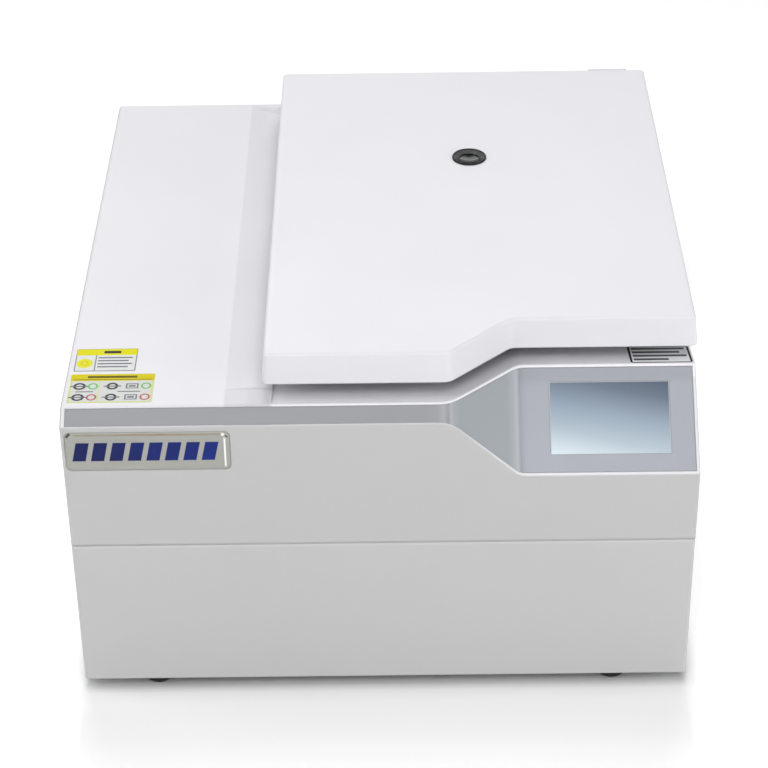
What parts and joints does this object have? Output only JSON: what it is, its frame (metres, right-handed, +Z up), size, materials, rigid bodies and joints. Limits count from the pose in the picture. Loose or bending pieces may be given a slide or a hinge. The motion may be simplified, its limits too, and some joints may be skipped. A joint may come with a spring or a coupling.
{
  "type": "refrigerated microplate centrifuge",
  "caption": "Benchtop refrigerated centrifuge with a faceted white housing, hinged stepped lid over a swing-out plate rotor, lid lock and sloped touch screen.",
  "frame": {"origin": "on the bench, under the centre of the machine and its hinge", "axes": "+X to the operator's right, +Y to the rear, +Z up"},
  "size_m": [0.562, 0.6065, 0.3512],
  "materials": {
    "cabinet_paint": "fine textured light grey-white paint",
    "zinc_steel": "zinc-plated steel",
    "shell_white": "satin white moulded shell",
    "inlay_silver": "satin silver-grey film",
    "screen_face": "touch screen, grey-blue glow",
    "display_frame": "black display frame",
    "circuit_board": "green solder mask",
    "badge_metal": "bare satin plate with polished rim",
    "bowl_steel": "satin stainless steel",
    "foam": "rigid foam",
    "copper": "bare copper tube",
    "black_rubber": "matt rubber",
    "motor_cast": "cast aluminium",
    "motor_iron": "laminated iron",
    "bearing_steel": "ground steel",
    "rotor_aluminium": "machined aluminium",
    "carrier_metal": "anodised sheet aluminium",
    "liner_grey": "grey lid liner",
    "hinge_grey": "grey moulded hood",
    "black_plastic": "black moulding",
    "sight_glass": "clear lens",
    "compressor_black": "gloss black enamel"
  },
  "bodies": {
    "cabinet": {"lower_cabinet": "cabinet_paint", "rear_panel": "cabinet_paint", "base_pan": "zinc_steel", "rear_panel_screws": "zinc_steel", "hinge_screws": "zinc_steel", "motor_plate": "zinc_steel", "latch_bracket": "zinc_steel", "hinge_brackets": "zinc_steel", "hinge_pins": "zinc_steel", "fan_shroud": "zinc_steel", "upper_shell": "shell_white", "trim_inlay": "inlay_silver", "screen_glass": "screen_face", "display_module": "display_frame", "control_board": "circuit_board", "drive_board": "circuit_board", "name_plate": "badge_metal", "chamber_bowl": "bowl_steel", "chamber_insulation": "foam", "evaporator": "copper", "refrigerant_pipes": "copper", "filter_drier": "copper", "chamber_seal": "black_rubber", "lid_buffers": "black_rubber", "vibration_mounts": "black_rubber", "motor_boot": "black_rubber", "rubber_feet": "black_rubber", "compressor_mounts": "black_rubber", "motor_housing": "motor_cast", "latch_actuator": "motor_cast", "fan_motor": "motor_cast", "motor_stator": "motor_iron", "motor_bearings": "bearing_steel", "condenser": "rotor_aluminium", "drive_heatsink": "rotor_aluminium", "power_inlet": "black_plastic", "switch_housing": "black_plastic", "compressor": "compressor_black"},
    "lid": {"lid_cover": "shell_white", "lid_liner": "liner_grey", "lid_frame": "zinc_steel", "sight_ring": "black_plastic", "sight_lens": "sight_glass", "lid_strikers": "zinc_steel", "lid_hinge_arms": "zinc_steel", "lid_hinge_covers": "hinge_grey"},
    "rotor": {"motor_shaft": "bearing_steel", "motor_rotor": "motor_iron", "rotor_yoke": "rotor_aluminium", "rotor_nut": "rotor_aluminium"},
    "carrier_a": {"plate_carrier_a": "carrier_metal"},
    "carrier_b": {"plate_carrier_b": "carrier_metal"},
    "fan": {"condenser_fan": "black_plastic"},
    "latch": {"latch_bar": "zinc_steel", "latch_plunger": "zinc_steel"},
    "rocker": {"power_rocker": "black_plastic"}
  },
  "joints": [
    {"name": "lid_hinge", "type": "hinge", "parent": "cabinet", "child": "lid", "pos_m": [0.0885, 0.295, 0.325], "axis": [-1, 0, 0], "range_deg": [0, 80]},
    {"name": "rotor_spin", "type": "hinge", "parent": "cabinet", "child": "rotor", "pos_m": [0.0885, 0.087, 0.2], "axis": [0, 0, 1], "continuous": true},
    {"name": "carrier_a_swing", "type": "hinge", "parent": "rotor", "child": "carrier_a", "pos_m": [0.1635, 0.087, 0.255], "axis": [0, -1, 0], "range_deg": [0, 90]},
    {"name": "carrier_b_swing", "type": "hinge", "parent": "rotor", "child": "carrier_b", "pos_m": [0.0135, 0.087, 0.255], "axis": [0, 1, 0], "range_deg": [0, 90]},
    {"name": "condenser_fan_spin", "type": "hinge", "parent": "cabinet", "child": "fan", "pos_m": [-0.187, 0.247, 0.105], "axis": [0, 1, 0], "continuous": true},
    {"name": "latch_slide", "type": "slide", "parent": "cabinet", "child": "latch", "axis": [1, 0, 0], "range_m": [0, 0.01]},
    {"name": "power_rocker_tilt", "type": "hinge", "parent": "cabinet", "child": "rocker", "pos_m": [0.215, 0.291, 0.104], "axis": [1, 0, 0], "range_deg": [0, 14]}
  ]
}
